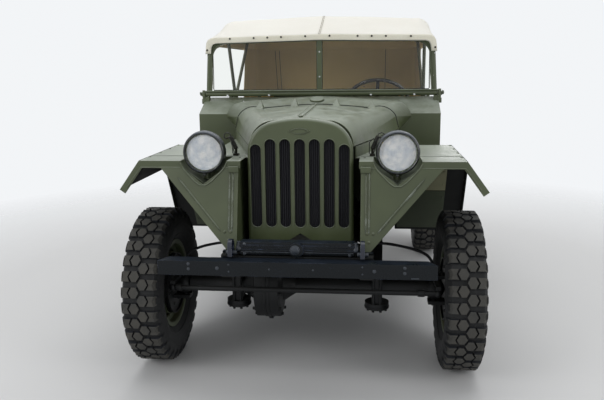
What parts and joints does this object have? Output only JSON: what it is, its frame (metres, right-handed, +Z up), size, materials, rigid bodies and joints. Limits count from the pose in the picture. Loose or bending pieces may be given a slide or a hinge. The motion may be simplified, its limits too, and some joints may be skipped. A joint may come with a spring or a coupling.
{
  "type": "army 4x4 car",
  "caption": "Open light four wheel drive army car with a canvas canopy, fold-up hood halves, steered front wheels and turning road wheels.",
  "frame": {"origin": "on the ground below the middle of the overall box", "axes": "+Z up, the car faces -Y, +X is the driver's side, which is the car's left"},
  "size_m": [1.626, 3.35, 1.7416],
  "materials": {
    "olive_paint": "semi-gloss army olive",
    "black_paint": "gloss black, worn",
    "wheel_paint": "semi-gloss army olive",
    "tyre_rubber": "matt grey black",
    "canvas": "matt cream canvas",
    "bow_steel": "painted tube",
    "seat_cover": "matt coated cloth",
    "clear_glass": "clear",
    "lamp_steel": "painted rim, bright inside",
    "castings": "dark cast metal",
    "rim_plastic": "black",
    "hose_rubber": "black",
    "red_lens": "red lens"
  },
  "bodies": {
    "body": {"frame": "black_paint", "bumper": "black_paint", "front_crossmember": "black_paint", "tow_hooks": "black_paint", "grille_shell": "olive_paint", "radiator": "black_paint", "engine": "castings", "splash_shields": "black_paint", "gearbox": "castings", "hood_hinge": "olive_paint", "fender_left": "olive_paint", "fender_right": "olive_paint", "headlamps": "lamp_steel", "headlamp_lenses": "clear_glass", "scuttle": "olive_paint", "filler_cap": "olive_paint", "dashboard": "olive_paint", "fuel_tanks": "olive_paint", "body_side_left": "olive_paint", "body_side_right": "olive_paint", "floor": "olive_paint", "rear_panel": "olive_paint", "windscreen_frame": "olive_paint", "windscreen_glass": "clear_glass", "canopy": "canvas", "canopy_bows": "bow_steel", "rear_curtain": "canvas", "seat_frames": "bow_steel", "seat_cushions": "seat_cover", "steering_column": "black_paint", "front_axle": "black_paint", "rear_axle": "black_paint", "front_springs": "black_paint", "rear_springs": "black_paint", "driveshafts": "black_paint", "exhaust": "black_paint", "spare_wheel": "wheel_paint", "spare_tyre": "tyre_rubber", "spare_carrier": "olive_paint", "rear_tow_hitch": "black_paint", "hood_latches": "black_paint", "brake_hoses": "hose_rubber", "tail_lamp": "red_lens"},
    "hood_left": {"hood_left": "olive_paint"},
    "hood_right": {"hood_right": "olive_paint"},
    "knuckle_left": {"knuckle_left": "black_paint"},
    "knuckle_right": {"knuckle_right": "black_paint"},
    "tie_rod": {"tie_rod": "black_paint"},
    "steering_wheel": {"steering_wheel": "rim_plastic"},
    "wheel_front_left": {"wheel_front_left": "wheel_paint", "tyre_front_left": "tyre_rubber"},
    "wheel_front_right": {"wheel_front_right": "wheel_paint", "tyre_front_right": "tyre_rubber"},
    "wheel_rear_left": {"wheel_rear_left": "wheel_paint", "tyre_rear_left": "tyre_rubber"},
    "wheel_rear_right": {"wheel_rear_right": "wheel_paint", "tyre_rear_right": "tyre_rubber"}
  },
  "joints": [
    {"name": "hood_left_hinge", "type": "hinge", "parent": "body", "child": "hood_left", "pos_m": [0, -1.379, 1.211], "axis": [0, -0.9999, -0.014], "range_deg": [0, 60]},
    {"name": "hood_right_hinge", "type": "hinge", "parent": "body", "child": "hood_right", "pos_m": [0, -1.379, 1.211], "axis": [0, 0.9999, 0.014], "range_deg": [0, 60]},
    {"name": "steer_left", "type": "hinge", "parent": "body", "child": "knuckle_left", "pos_m": [0.612, -1.175, 0.377], "axis": [0, 0, 1], "range_deg": [-29, 29]},
    {"name": "steer_right", "type": "hinge", "parent": "body", "child": "knuckle_right", "pos_m": [-0.612, -1.175, 0.377], "axis": [0, 0, 1], "range_deg": [-29, 29]},
    {"name": "tie_rod_end", "type": "hinge", "parent": "knuckle_left", "child": "tie_rod", "pos_m": [0.612, -1.375, 0.421], "axis": [0, 0, 1], "range_deg": [-29, 29]},
    {"name": "steering_wheel_turn", "type": "hinge", "parent": "body", "child": "steering_wheel", "pos_m": [0.341, 0.078, 1.185], "axis": [0, 0.788, 0.6157], "range_deg": [-481.4, 481.4]},
    {"name": "wheel_spin_front_left", "type": "hinge", "parent": "knuckle_left", "child": "wheel_front_left", "pos_m": [0.723, -1.175, 0.377], "axis": [1, 0, 0], "continuous": true},
    {"name": "wheel_spin_front_right", "type": "hinge", "parent": "knuckle_right", "child": "wheel_front_right", "pos_m": [-0.723, -1.175, 0.377], "axis": [1, 0, 0], "continuous": true},
    {"name": "wheel_spin_rear_left", "type": "hinge", "parent": "body", "child": "wheel_rear_left", "pos_m": [0.723, 0.925, 0.377], "axis": [1, 0, 0], "continuous": true},
    {"name": "wheel_spin_rear_right", "type": "hinge", "parent": "body", "child": "wheel_rear_right", "pos_m": [-0.723, 0.925, 0.377], "axis": [1, 0, 0], "continuous": true}
  ],
  "couplings": [
    {"joint": "steer_right", "follows": "steer_left", "ratio": 1},
    {"joint": "tie_rod_end", "follows": "steer_left", "ratio": -1},
    {"joint": "steering_wheel_turn", "follows": "steer_left", "ratio": 16.6}
  ]
}
